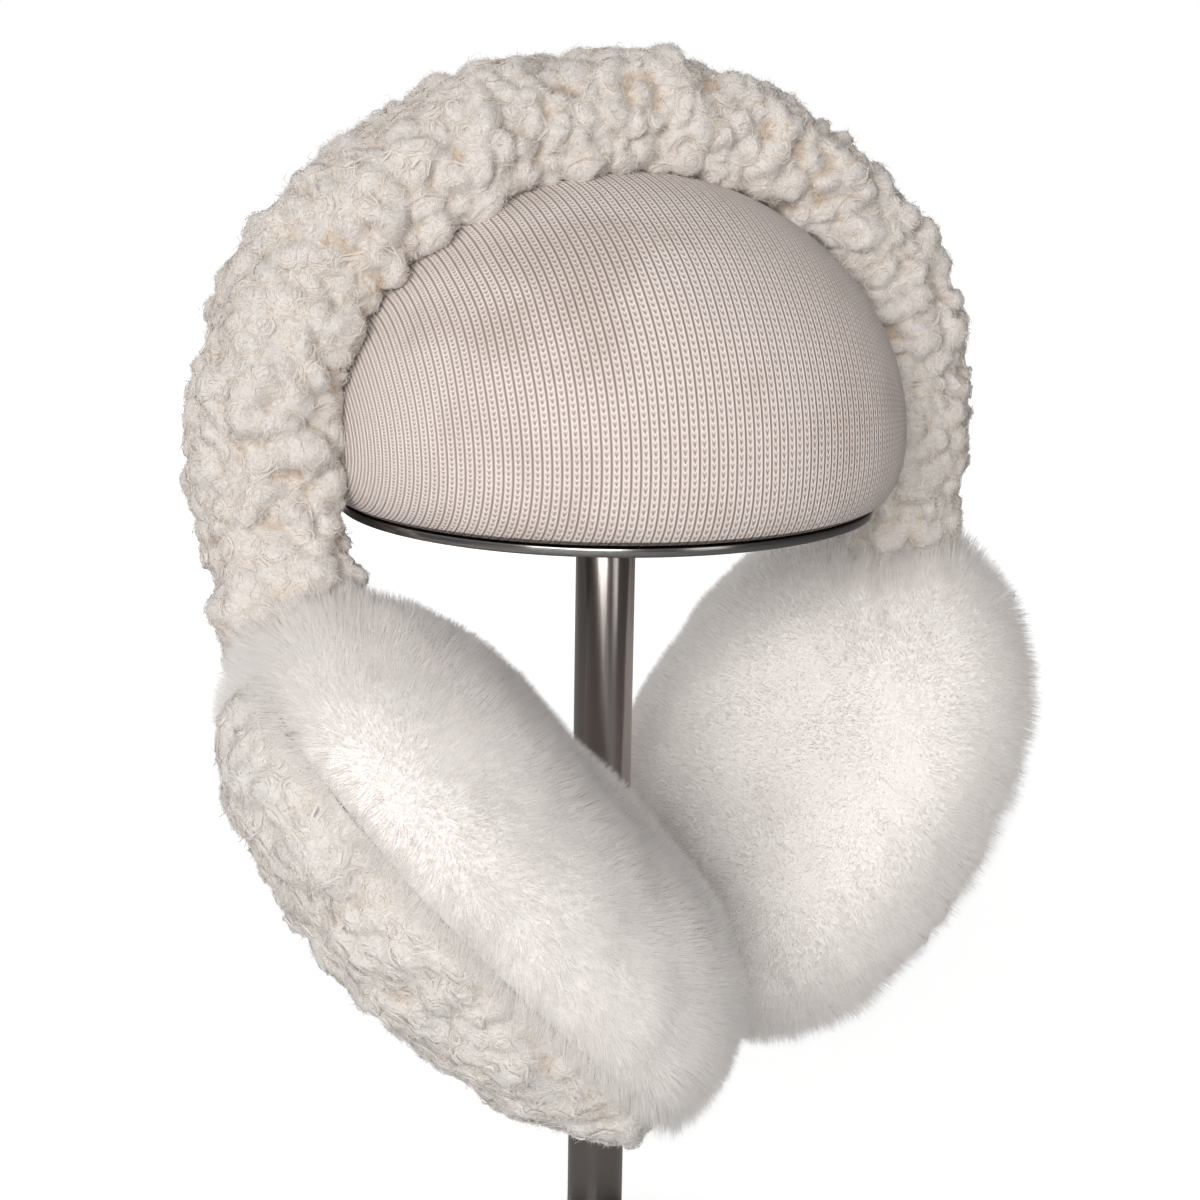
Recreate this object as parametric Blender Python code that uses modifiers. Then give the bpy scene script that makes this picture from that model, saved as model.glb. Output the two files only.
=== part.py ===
"""Fur earmuffs hanging on a padded hat stand.

Metres, +Z up. The origin is the centre of the base's underside, on the post's axis.
The earmuffs' front faces -Y. Their left pad, seen from the front, is at -X.
"""
import math
from collections import namedtuple

import bmesh
import bpy
from mathutils import Matrix, Vector, noise

# Clearance between pieces that touch, and between the headband and what it rests on or joins
CLEARANCE = 0.0003
BAND_GAP = 0.0004

# Stand: base, post, plate and padded dome, which is tucked in where it meets the plate
BASE_RADIUS = 0.070
BASE_THICKNESS = 0.005
POST_RADIUS = 0.0075
POST_LENGTH = 0.243
PLATE_THICKNESS = 0.0022
PLATE_RIM = 0.0013
STEEL_EDGE = 0.0005
DOME_RADIUS = 0.073
DOME_TUCK = 0.0075
DOME_HEIGHT = 0.0785
DOME_WAIST_HEIGHT = 0.015

# The earmuffs lie on the dome with their left side lower
EARMUFF_ROLL = math.radians(5.0)

# Headband of curly shearling: an arch that hugs the dome, and a tail down to each pad
BAND_THICKNESS = 0.028
CROWN_THINNING = 0.0045
BAND_WIDTH = 0.042
BAND_SET_BACK = 0.004
BAND_TAIL = 0.054
BAND_LEAN = math.radians(4.0)
TAIL_TAPER = 0.15
OUTER_ROUNDNESS = 2.8
INNER_ROUNDNESS = 7.0

# Ear pads: a plush cushion towards the ear and a curly shell outside it
PAD_HALF_LENGTH = 0.0755
PAD_HALF_WIDTH = 0.0525
CUSHION_DEPTH = 0.042
SHELL_DEPTH = 0.033
SHELL_INSET = 0.002
PAD_ROUNDNESS = 2.3
DENT_DEPTH = 0.008
DENT_RADIUS = 0.030
PAD_INSET = 0.0145
PAD_DROP = 0.098
PAD_TILT = math.radians(36.6)

# One row for each pad. They lie one before and one behind the post. Forward is a share of the pad's half
# width, drop a share of PAD_DROP, and tail_forward how far the band's tail swings to its pad, as a share of
# the band's width. The turn points the ear face to the front.
Pad = namedtuple("Pad", "name side forward drop turn tail_forward")
PADS = (
    Pad(name="left", side=-1, forward=0.88, drop=0.91, turn=math.radians(11.0), tail_forward=0.80),
    Pad(name="right", side=1, forward=-0.16, drop=1.09, turn=math.radians(35.0), tail_forward=-0.25),
)

# Fur in rounded curls on the shearling and small pointed locks on the plush: their pitch, their height and
# the share of it that stands above the mean surface
CURL_PITCH = 0.014
CURL_HEIGHT = 0.0040
CURL_RISE = 0.45
LOCK_PITCH = 0.018
LOCK_HEIGHT = 0.0022
LOCK_RISE = 0.5
CELL_EDGE = 0.9
CURL_START = 0.1
CURL_FULL = 0.5
BAND_SEED = 0
CUSHION_SEED = 10
SHELL_SEED = 20

# Fineness of the faceted solids
TURNED_STEPS = 48
POST_SIDES = 24
DOME_ROWS = 10
TUCK_ROWS = 4
BAND_STATIONS = 78
BAND_AROUND = 26
PAD_CUTS = 13
MERGE = 0.00002
SMOOTH_ANGLE = math.radians(50)

PLATE_RADIUS = DOME_RADIUS - DOME_TUCK + PLATE_RIM
POST_BOTTOM = BASE_THICKNESS + CLEARANCE
PLATE_BOTTOM = POST_BOTTOM + POST_LENGTH + CLEARANCE
DOME_BOTTOM = PLATE_BOTTOM + PLATE_THICKNESS + CLEARANCE
DOME_WAIST = DOME_BOTTOM + DOME_WAIST_HEIGHT
DOME_RISE = DOME_HEIGHT - DOME_WAIST_HEIGHT
PAD_SPREAD = DOME_RADIUS - PAD_INSET


def clear_scene():
    for item in list(bpy.data.objects):
        bpy.data.objects.remove(item, do_unlink=True)


def new_collection(name):
    group = bpy.data.collections.new(name)
    bpy.context.scene.collection.children.link(group)
    return group


def new_material(name, colour, roughness, metallic=0.0):
    material = bpy.data.materials.new(name)
    material.use_nodes = True
    shader = material.node_tree.nodes["Principled BSDF"]
    shader.inputs["Base Color"].default_value = (*colour, 1.0)
    shader.inputs["Roughness"].default_value = roughness
    shader.inputs["Metallic"].default_value = metallic
    return material


def add_object(name, mesh, group, material, parent=None):
    """Object from a bmesh, smooth shaded except over sharp edges."""
    data = bpy.data.meshes.new(name)
    bmesh.ops.recalc_face_normals(mesh, faces=mesh.faces)
    mesh.to_mesh(data)
    mesh.free()
    data.shade_smooth()
    data.set_sharp_from_angle(angle=SMOOTH_ANGLE)
    item = bpy.data.objects.new(name, data)
    item.data.materials.append(material)
    group.objects.link(item)
    item.parent = parent
    return item


def add_frame(name, group, matrix, parent=None):
    """Empty that carries pieces placed together."""
    frame = bpy.data.objects.new(name, None)
    frame.empty_display_size = BAND_WIDTH
    group.objects.link(frame)
    frame.parent = parent
    frame.matrix_local = matrix
    return frame


def as_cutter(item):
    item.display_type = "WIRE"
    item.hide_render = True
    return item


def trim(item, cutter):
    """Take a cutter's room out of a piece."""
    cut = item.modifiers.new("trim by " + cutter.name, "BOOLEAN")
    cut.operation = "DIFFERENCE"
    cut.object = cutter


def disc(name, radius, sides, bottom, height, group, material, edge=0.0):
    """Upright cylinder standing on a height, with its edges eased."""
    mesh = bmesh.new()
    bmesh.ops.create_cone(mesh, cap_ends=True, segments=sides, radius1=radius, radius2=radius, depth=height)
    item = add_object(name, mesh, group, material)
    item.location = (0, 0, bottom + height / 2)
    if edge:
        ease = item.modifiers.new("eased edge", "BEVEL")
        ease.width = edge
        ease.segments = 1
        ease.limit_method = "ANGLE"
    return item


def dome_profile():
    """Half outline from the dome's top down its outer side and back to the axis under it."""
    points = [(0.0, DOME_WAIST + DOME_RISE)]
    for row in range(1, DOME_ROWS + 1):
        angle = math.pi / 2 * (1 - row / DOME_ROWS)
        points.append((DOME_RADIUS * math.cos(angle), DOME_WAIST + DOME_RISE * math.sin(angle)))
    for row in range(1, TUCK_ROWS + 1):
        angle = math.pi / 2 * row / TUCK_ROWS
        points.append((DOME_RADIUS - DOME_TUCK * (1 - math.cos(angle)),
                       DOME_WAIST - DOME_WAIST_HEIGHT * math.sin(angle)))
    points.append((0.0, DOME_BOTTOM))
    return points


def padded_dome(group, material):
    """Knit-covered dome: an elliptical top whose lower edge is tucked in at the plate."""
    mesh = bmesh.new()
    verts = [mesh.verts.new((radius, 0, height)) for radius, height in dome_profile()]
    for upper, lower in zip(verts, verts[1:]):
        mesh.edges.new((upper, lower))
    item = add_object("padded_dome", mesh, group, material)
    turn = item.modifiers.new("turned", "SCREW")
    turn.steps = turn.render_steps = TURNED_STEPS
    turn.use_merge_vertices = True
    turn.merge_threshold = MERGE
    turn.use_smooth_shade = True


def nearest_cell(point, pitch, seed):
    """Distance to the nearest curl or lock, in pitches."""
    return noise.voronoi(point / pitch + Vector((seed, 0, 0)))[0][0]


def curls(point, seed):
    """Height of the shearling's rounded curls at a point."""
    return CURL_HEIGHT * (CURL_RISE - min(nearest_cell(point, CURL_PITCH, seed) ** 2, CELL_EDGE))


def locks(point, seed):
    """Height of the plush's small pointed locks at a point."""
    return LOCK_HEIGHT * (LOCK_RISE - min(nearest_cell(point, LOCK_PITCH, seed), CELL_EDGE))


def fade(value, start, end):
    """Smooth step from 0 at start to 1 at end."""
    share = min(max((value - start) / (end - start), 0.0), 1.0)
    return share * share * (3 - 2 * share)


def rounded_size(sine, cosine, power):
    """Scale that brings a direction out to a rounded square with half sides of 1."""
    return (abs(sine) ** power + abs(cosine) ** power) ** (-1 / power)


def seat_reach(turn, angle, offset):
    """Distance from the dome's centre to its surface, along the band's angle and at a front-back offset."""
    scale = Vector((1 / DOME_RADIUS, 1 / DOME_RADIUS, 1 / DOME_RISE))
    ray = turn @ Vector((math.cos(angle), 0, math.sin(angle))) * scale
    side = turn @ Vector((0, offset, 0)) * scale
    along = ray.dot(side) / ray.dot(ray)
    return math.sqrt(along * along + (1 - side.dot(side)) / ray.dot(ray)) - along


def band_axis(share):
    """Angle over the dome and length below it, for a share of the band's length from its left end."""
    arch = math.pi * (DOME_RADIUS + BAND_THICKNESS / 2)
    length = share * (arch + 2 * BAND_TAIL)
    if length < BAND_TAIL:
        return math.pi, BAND_TAIL - length
    if length > BAND_TAIL + arch:
        return 0.0, length - BAND_TAIL - arch
    return math.pi * (1 - (length - BAND_TAIL) / arch), 0.0


def band_point(share, around, turn, lift=0.0):
    """Point of the headband's surface: a rounded section that hugs the dome, with tails that hang to the pads."""
    angle, below = band_axis(share)
    hang = (below / BAND_TAIL) ** 2
    sine, cosine = math.sin(around), math.cos(around)
    size = rounded_size(sine, cosine, OUTER_ROUNDNESS if cosine > 0 else INNER_ROUNDNESS)
    offset = BAND_SET_BACK + BAND_WIDTH / 2 * sine * size * (1 - TAIL_TAPER * hang)
    thickness = BAND_THICKNESS - CROWN_THINNING * math.sin(angle)
    depth = thickness / 2 * (1 + cosine * size)
    lift *= fade(depth, thickness * CURL_START, thickness * CURL_FULL)
    reach = seat_reach(turn, angle, offset) + BAND_GAP + depth + lift * cosine
    offset += lift * sine
    pad = PADS[0] if angle > math.pi / 2 else PADS[1]
    lean = BAND_TAIL * math.tan(BAND_LEAN) * hang
    forward = BAND_WIDTH * pad.tail_forward * hang
    return Vector((math.cos(angle) * (reach - lean), offset - forward, math.sin(angle) * reach - below))


def headband(group, material, frame, turn):
    """Curly band: a lofted tube over the dome, closed at both ends."""
    mesh = bmesh.new()
    bmesh.ops.create_grid(mesh, x_segments=BAND_STATIONS, y_segments=BAND_AROUND, size=0.5)
    for vert in mesh.verts:
        share = vert.co.x + 0.5
        around = math.tau * (vert.co.y + 0.5)
        plain = band_point(share, around, turn)
        vert.co = band_point(share, around, turn, curls(plain, BAND_SEED))
    bmesh.ops.remove_doubles(mesh, verts=mesh.verts, dist=MERGE)
    ends = bmesh.ops.holes_fill(mesh, edges=[edge for edge in mesh.edges if edge.is_boundary])
    bmesh.ops.poke(mesh, faces=ends["faces"])
    return add_object("headband", mesh, group, material, frame)


def pad_form(place):
    """Closed round form from a cube: its vertices are spread over a sphere, then each is placed."""
    mesh = bmesh.new()
    bmesh.ops.create_cube(mesh, size=2.0)
    bmesh.ops.subdivide_edges(mesh, edges=mesh.edges[:], cuts=PAD_CUTS, use_grid_fill=True)
    for vert in mesh.verts:
        vert.co = place(Vector([math.tan(value * math.pi / 4) for value in vert.co]))
    bmesh.ops.triangulate(mesh, faces=mesh.faces[:], quad_method="FIXED")
    return mesh


def rounded(direction, half_sizes):
    """Point and outward normal of a rounded block in a direction."""
    power = PAD_ROUNDNESS
    total = sum(abs(value) ** power for value in direction) ** (1 / power)
    unit = direction / total
    point = Vector([value * half for value, half in zip(unit, half_sizes)])
    slope = [math.copysign(abs(value) ** (power - 1), value) / half for value, half in zip(unit, half_sizes)]
    return point, Vector(slope).normalized()


def cushion_point(direction, side, grow=0.0):
    """Point of a pad's plush side: deep and rounded, with a shallow dent for the ear. X points to the ear."""
    point, normal = rounded(direction, (CUSHION_DEPTH, PAD_HALF_WIDTH, PAD_HALF_LENGTH))
    point += normal * (locks(point, CUSHION_SEED + side) + grow)
    spread = (point.y ** 2 + point.z ** 2) / DENT_RADIUS ** 2
    point.x -= DENT_DEPTH * math.exp(-spread) * fade(point.x, 0.0, CUSHION_DEPTH)
    return point


def shell_point(direction, side, grow=0.0):
    """Point of a pad's curly side: a rounded cap, a little smaller than the cushion."""
    halves = (SHELL_DEPTH, PAD_HALF_WIDTH - SHELL_INSET, PAD_HALF_LENGTH - SHELL_INSET)
    point, normal = rounded(direction, halves)
    return point + normal * (curls(point, SHELL_SEED + side) + grow)


def cut_flat(mesh, height, keep_ear_side):
    """Cut a form on a plane across the pad and close it with a flat face."""
    geometry = mesh.verts[:] + mesh.edges[:] + mesh.faces[:]
    bmesh.ops.bisect_plane(mesh, geom=geometry, plane_co=(height, 0, 0), plane_no=(1, 0, 0),
                           clear_inner=keep_ear_side, clear_outer=not keep_ear_side)
    bmesh.ops.holes_fill(mesh, edges=[edge for edge in mesh.edges if edge.is_boundary])


def cushion_form(pad):
    mesh = pad_form(lambda direction: cushion_point(direction, pad.side))
    cut_flat(mesh, CLEARANCE / 2, True)
    return mesh


def shell_form(pad):
    mesh = pad_form(lambda direction: shell_point(direction, pad.side))
    cut_flat(mesh, -CLEARANCE / 2, False)
    return mesh


def pad_room(pad):
    """Whole pad with the gap that its neighbours keep round it."""
    half_facet = 0.5 / PAD_CUTS

    def place(direction):
        form = shell_point if direction.x < -half_facet else cushion_point
        return form(direction, pad.side, BAND_GAP)
    return pad_form(place)


def pad_matrix(pad):
    """Place of a pad: its X axis points in towards the ear, its Z axis along its length to its top."""
    straight_in = Vector((-pad.side * math.cos(PAD_TILT), 0, math.sin(PAD_TILT)))
    inward = straight_in * math.cos(pad.turn) - Vector((0, math.sin(pad.turn), 0))
    upward = Vector((pad.side * math.sin(PAD_TILT), 0, math.cos(PAD_TILT)))
    turned = Matrix((inward, upward.cross(inward), upward)).transposed().to_4x4()
    place = Vector((pad.side * PAD_SPREAD, -pad.forward * PAD_HALF_WIDTH, -pad.drop * PAD_DROP))
    return Matrix.Translation(place) @ turned


def stand(group, steel, knit):
    disc("stand_base", BASE_RADIUS, TURNED_STEPS, 0.0, BASE_THICKNESS, group, steel, STEEL_EDGE)
    disc("stand_post", POST_RADIUS, POST_SIDES, POST_BOTTOM, POST_LENGTH, group, steel)
    disc("stand_plate", PLATE_RADIUS, TURNED_STEPS, PLATE_BOTTOM, PLATE_THICKNESS, group, steel, STEEL_EDGE)
    padded_dome(group, knit)


def earmuffs(group, tools, shearling, plush):
    """Headband and both pads, rolled together on the dome. A soft pad yields to the post and to the pad before it."""
    turn = Matrix.Rotation(-EARMUFF_ROLL, 4, "Y")
    frame = add_frame("earmuffs", group, Matrix.Translation((0, 0, DOME_WAIST)) @ turn)
    band = headband(group, shearling, frame, turn.to_3x3())
    post_room = disc("post_room", POST_RADIUS + CLEARANCE, POST_SIDES, POST_BOTTOM, POST_LENGTH, tools, plush)
    rooms = [as_cutter(post_room)]
    for pad in PADS:
        pad_frame = add_frame("pad_" + pad.name, group, pad_matrix(pad), frame)
        cushion = add_object("ear_cushion_" + pad.name, cushion_form(pad), group, plush, pad_frame)
        shell = add_object("ear_shell_" + pad.name, shell_form(pad), group, shearling, pad_frame)
        for room in rooms:
            trim(cushion, room)
            trim(shell, room)
        room = as_cutter(add_object("pad_room_" + pad.name, pad_room(pad), tools, plush, pad_frame))
        rooms.append(room)
        trim(band, room)


def main():
    clear_scene()
    parts = new_collection("fur_earmuffs_on_stand")
    tools = new_collection("cutters")
    steel = new_material("brushed steel", (0.42, 0.38, 0.35), 0.35, 1.0)
    knit = new_material("cream rib knit", (0.62, 0.54, 0.49), 0.95)
    shearling = new_material("cream curly shearling", (0.75, 0.69, 0.63), 0.95)
    plush = new_material("cream plush", (0.82, 0.78, 0.75), 0.9)
    stand(parts, steel, knit)
    earmuffs(parts, tools, shearling, plush)


main()
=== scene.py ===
"""Looks of the fur earmuffs on their padded stand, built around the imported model.

Metres, +Z up. Every fur piece is grown from the surface of the CAD node that it replaces.
"""
import math

import bmesh
import bpy
import numpy as np
from mathutils import Matrix, Vector
from mathutils.kdtree import KDTree


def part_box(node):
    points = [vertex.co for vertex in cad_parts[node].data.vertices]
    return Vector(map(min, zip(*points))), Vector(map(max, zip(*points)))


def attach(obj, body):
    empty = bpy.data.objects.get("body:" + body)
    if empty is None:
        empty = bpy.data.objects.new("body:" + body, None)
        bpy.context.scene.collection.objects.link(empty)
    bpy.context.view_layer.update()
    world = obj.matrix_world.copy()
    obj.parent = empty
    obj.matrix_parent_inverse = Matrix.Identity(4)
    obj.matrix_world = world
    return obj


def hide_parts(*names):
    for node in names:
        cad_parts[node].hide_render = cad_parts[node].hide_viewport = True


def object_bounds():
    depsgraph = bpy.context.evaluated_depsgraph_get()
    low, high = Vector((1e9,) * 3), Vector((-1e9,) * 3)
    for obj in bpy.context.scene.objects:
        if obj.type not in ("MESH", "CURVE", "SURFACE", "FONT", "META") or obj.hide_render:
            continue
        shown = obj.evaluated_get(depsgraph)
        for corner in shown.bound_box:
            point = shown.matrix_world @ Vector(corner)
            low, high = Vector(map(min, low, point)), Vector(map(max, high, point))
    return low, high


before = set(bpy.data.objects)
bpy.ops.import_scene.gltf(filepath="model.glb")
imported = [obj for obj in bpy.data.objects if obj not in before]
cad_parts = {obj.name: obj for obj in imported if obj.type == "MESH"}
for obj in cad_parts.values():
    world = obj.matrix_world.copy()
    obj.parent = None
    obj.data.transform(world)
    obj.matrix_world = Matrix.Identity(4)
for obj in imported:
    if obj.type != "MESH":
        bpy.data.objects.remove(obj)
cad_low, cad_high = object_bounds()

# Camera, from the plate's centre: it stands CAMERA_DISTANCE away and sees the plate's centre at PLATE_PIXEL
IMAGE_SIZE = 1200
CAMERA_DISTANCE = 0.455
CAMERA_AZIMUTH = math.radians(24.0)
CAMERA_ELEVATION = math.radians(10.7)
CAMERA_ROLL = math.radians(0.95)
FOCAL_PIXELS = 1820.0
PLATE_PIXEL = (605.0, 490.0)
SENSOR_WIDTH = 36.0
LIT_MIDDLE = (0.0, 0.0, 0.22)
WORLD_LEFT = 0.50
WORLD_RIGHT = 0.06
FLOOR_RADIUS = 12.0
FLOOR_GAP = 0.0002

# Form of the padded dome and its knit
DOME_RADIUS = 0.073
DOME_TUCK = 0.0075
DOME_WAIST_HEIGHT = 0.015
DOME_UNDERSIDE = 0.0007
DOME_STEPS = 160
DISC_STEPS = 128
WALE_PITCH = 0.0021
WALE_RADIUS = DOME_RADIUS * 1.03
COURSE_PITCH = 0.0017
DARK_LINE_HEIGHT = 0.0013
DOME_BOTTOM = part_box("padded_dome")[0][2]
DOME_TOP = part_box("padded_dome")[1][2]
DOME_WAIST = DOME_BOTTOM + DOME_WAIST_HEIGHT


def unit(vectors):
    return vectors / np.maximum(np.linalg.norm(vectors, axis=-1, keepdims=True), 1e-12)


def dot(first, second):
    return np.sum(first * second, axis=-1, keepdims=True)


def smoothstep(values, start, end):
    share = np.clip((values - start) / (end - start), 0.0, 1.0)
    return share * share * (3 - 2 * share)


# Camera, floor and light

def place_camera():
    target = Vector((0.0, 0.0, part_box("stand_plate")[1][2]))
    back = Vector((-math.sin(CAMERA_AZIMUTH) * math.cos(CAMERA_ELEVATION),
                   -math.cos(CAMERA_AZIMUTH) * math.cos(CAMERA_ELEVATION),
                   math.sin(CAMERA_ELEVATION)))
    heading = CAMERA_AZIMUTH - math.atan2(PLATE_PIXEL[0] - IMAGE_SIZE / 2, FOCAL_PIXELS)
    pitch = -CAMERA_ELEVATION + math.atan2(PLATE_PIXEL[1] - IMAGE_SIZE / 2, FOCAL_PIXELS)
    forward = Vector((math.sin(heading) * math.cos(pitch),
                      math.cos(heading) * math.cos(pitch),
                      math.sin(pitch)))
    right = Vector((math.cos(heading), -math.sin(heading), 0.0))
    upward = right.cross(forward)
    turned = Matrix((right, upward, -forward)).transposed() @ Matrix.Rotation(CAMERA_ROLL, 3, "Z")
    data = bpy.data.cameras.new("camera")
    data.sensor_width = SENSOR_WIDTH
    data.lens = FOCAL_PIXELS / IMAGE_SIZE * SENSOR_WIDTH
    data.clip_start = 0.01
    camera = bpy.data.objects.new("camera", data)
    camera.matrix_world = Matrix.Translation(target + back * CAMERA_DISTANCE) @ turned.to_4x4()
    bpy.context.scene.collection.objects.link(camera)
    bpy.context.scene.camera = camera


def area_light(name, place, size, power, colour):
    data = bpy.data.lights.new(name, "AREA")
    data.shape = "RECTANGLE"
    data.size, data.size_y = size
    data.energy = power
    data.color = colour
    lamp = bpy.data.objects.new(name, data)
    lamp.location = place
    lamp.rotation_euler = (Vector(LIT_MIDDLE) - Vector(place)).to_track_quat("-Z", "Y").to_euler()
    bpy.context.scene.collection.objects.link(lamp)


def light_the_scene():
    """Three lamps and a dim world. The camera sees the world as plain white."""
    world = bpy.data.worlds.new("studio")
    bpy.context.scene.world = world
    world.use_nodes = True
    nodes, links = world.node_tree.nodes, world.node_tree.links
    lit = nodes["Background"]
    lit.inputs["Color"].default_value = (1.0, 0.985, 0.975, 1.0)
    # Brighter from the left than from the right
    aim = nodes.new("ShaderNodeTexCoord")
    split = nodes.new("ShaderNodeSeparateXYZ")
    sides = nodes.new("ShaderNodeMapRange")
    sides.inputs["From Min"].default_value = -1.0
    sides.inputs["From Max"].default_value = 1.0
    sides.inputs["To Min"].default_value = WORLD_LEFT
    sides.inputs["To Max"].default_value = WORLD_RIGHT
    links.new(aim.outputs["Generated"], split.inputs["Vector"])
    links.new(split.outputs["X"], sides.inputs["Value"])
    links.new(sides.outputs["Result"], lit.inputs["Strength"])
    seen = nodes.new("ShaderNodeBackground")
    seen.inputs["Color"].default_value = (1.0, 1.0, 1.0, 1.0)
    path = nodes.new("ShaderNodeLightPath")
    mix = nodes.new("ShaderNodeMixShader")
    links.new(path.outputs["Is Camera Ray"], mix.inputs["Fac"])
    links.new(lit.outputs["Background"], mix.inputs[1])
    links.new(seen.outputs["Background"], mix.inputs[2])
    links.new(mix.outputs["Shader"], nodes["World Output"].inputs["Surface"])
    area_light("key", (-0.92, -1.30, 0.66), (1.1, 0.9), 26.0, (1.0, 0.985, 0.97))
    area_light("streak", (0.28, -0.96, 0.40), (0.28, 0.5), 1.05, (1.0, 1.0, 1.0))
    area_light("back", (-0.15, 1.5, 0.75), (1.3, 1.0), 8.0, (1.0, 0.99, 0.98))
    view = bpy.context.scene.view_settings
    view.view_transform = "Standard"
    view.look = "None"


def lay_floor():
    """Pale floor that glows a little more with distance, so that no line shows before the white backdrop."""
    mesh = bmesh.new()
    bmesh.ops.create_circle(mesh, cap_ends=True, segments=96, radius=FLOOR_RADIUS)
    data = bpy.data.meshes.new("floor")
    mesh.to_mesh(data)
    mesh.free()
    floor = bpy.data.objects.new("floor", data)
    floor.location = (0.0, 0.0, cad_low[2] - FLOOR_GAP)
    bpy.context.scene.collection.objects.link(floor)
    paint = bpy.data.materials.new("floor")
    paint.use_nodes = True
    nodes, links = paint.node_tree.nodes, paint.node_tree.links
    shader = nodes["Principled BSDF"]
    shader.inputs["Base Color"].default_value = (0.42, 0.42, 0.42, 1.0)
    shader.inputs["Roughness"].default_value = 0.8
    shader.inputs["Specular IOR Level"].default_value = 0.1
    shader.inputs["Emission Color"].default_value = (1.0, 1.0, 1.0, 1.0)
    place = nodes.new("ShaderNodeTexCoord")
    distance = nodes.new("ShaderNodeVectorMath")
    distance.operation = "LENGTH"
    glow = nodes.new("ShaderNodeMapRange")
    glow.interpolation_type = "SMOOTHSTEP"
    glow.inputs["From Min"].default_value = 0.2
    glow.inputs["From Max"].default_value = 1.6
    glow.inputs["To Min"].default_value = 0.76
    glow.inputs["To Max"].default_value = 1.0
    links.new(place.outputs["Object"], distance.inputs[0])
    links.new(distance.outputs["Value"], glow.inputs["Value"])
    path = nodes.new("ShaderNodeLightPath")
    seen = nodes.new("ShaderNodeMath")
    seen.operation = "MULTIPLY"
    links.new(glow.outputs["Result"], seen.inputs[0])
    links.new(path.outputs["Is Camera Ray"], seen.inputs[1])
    links.new(seen.outputs["Value"], shader.inputs["Emission Strength"])
    data.materials.append(paint)


# Surfaces to grow from

# How far points between a face's corners follow the roundness that the normals tell
ROUNDNESS = 0.6
# How closely a face has to face the cut's way, and lie in its plane, to be part of it
CUT_FACING = 0.995
CUT_DEPTH = 0.0003


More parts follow.
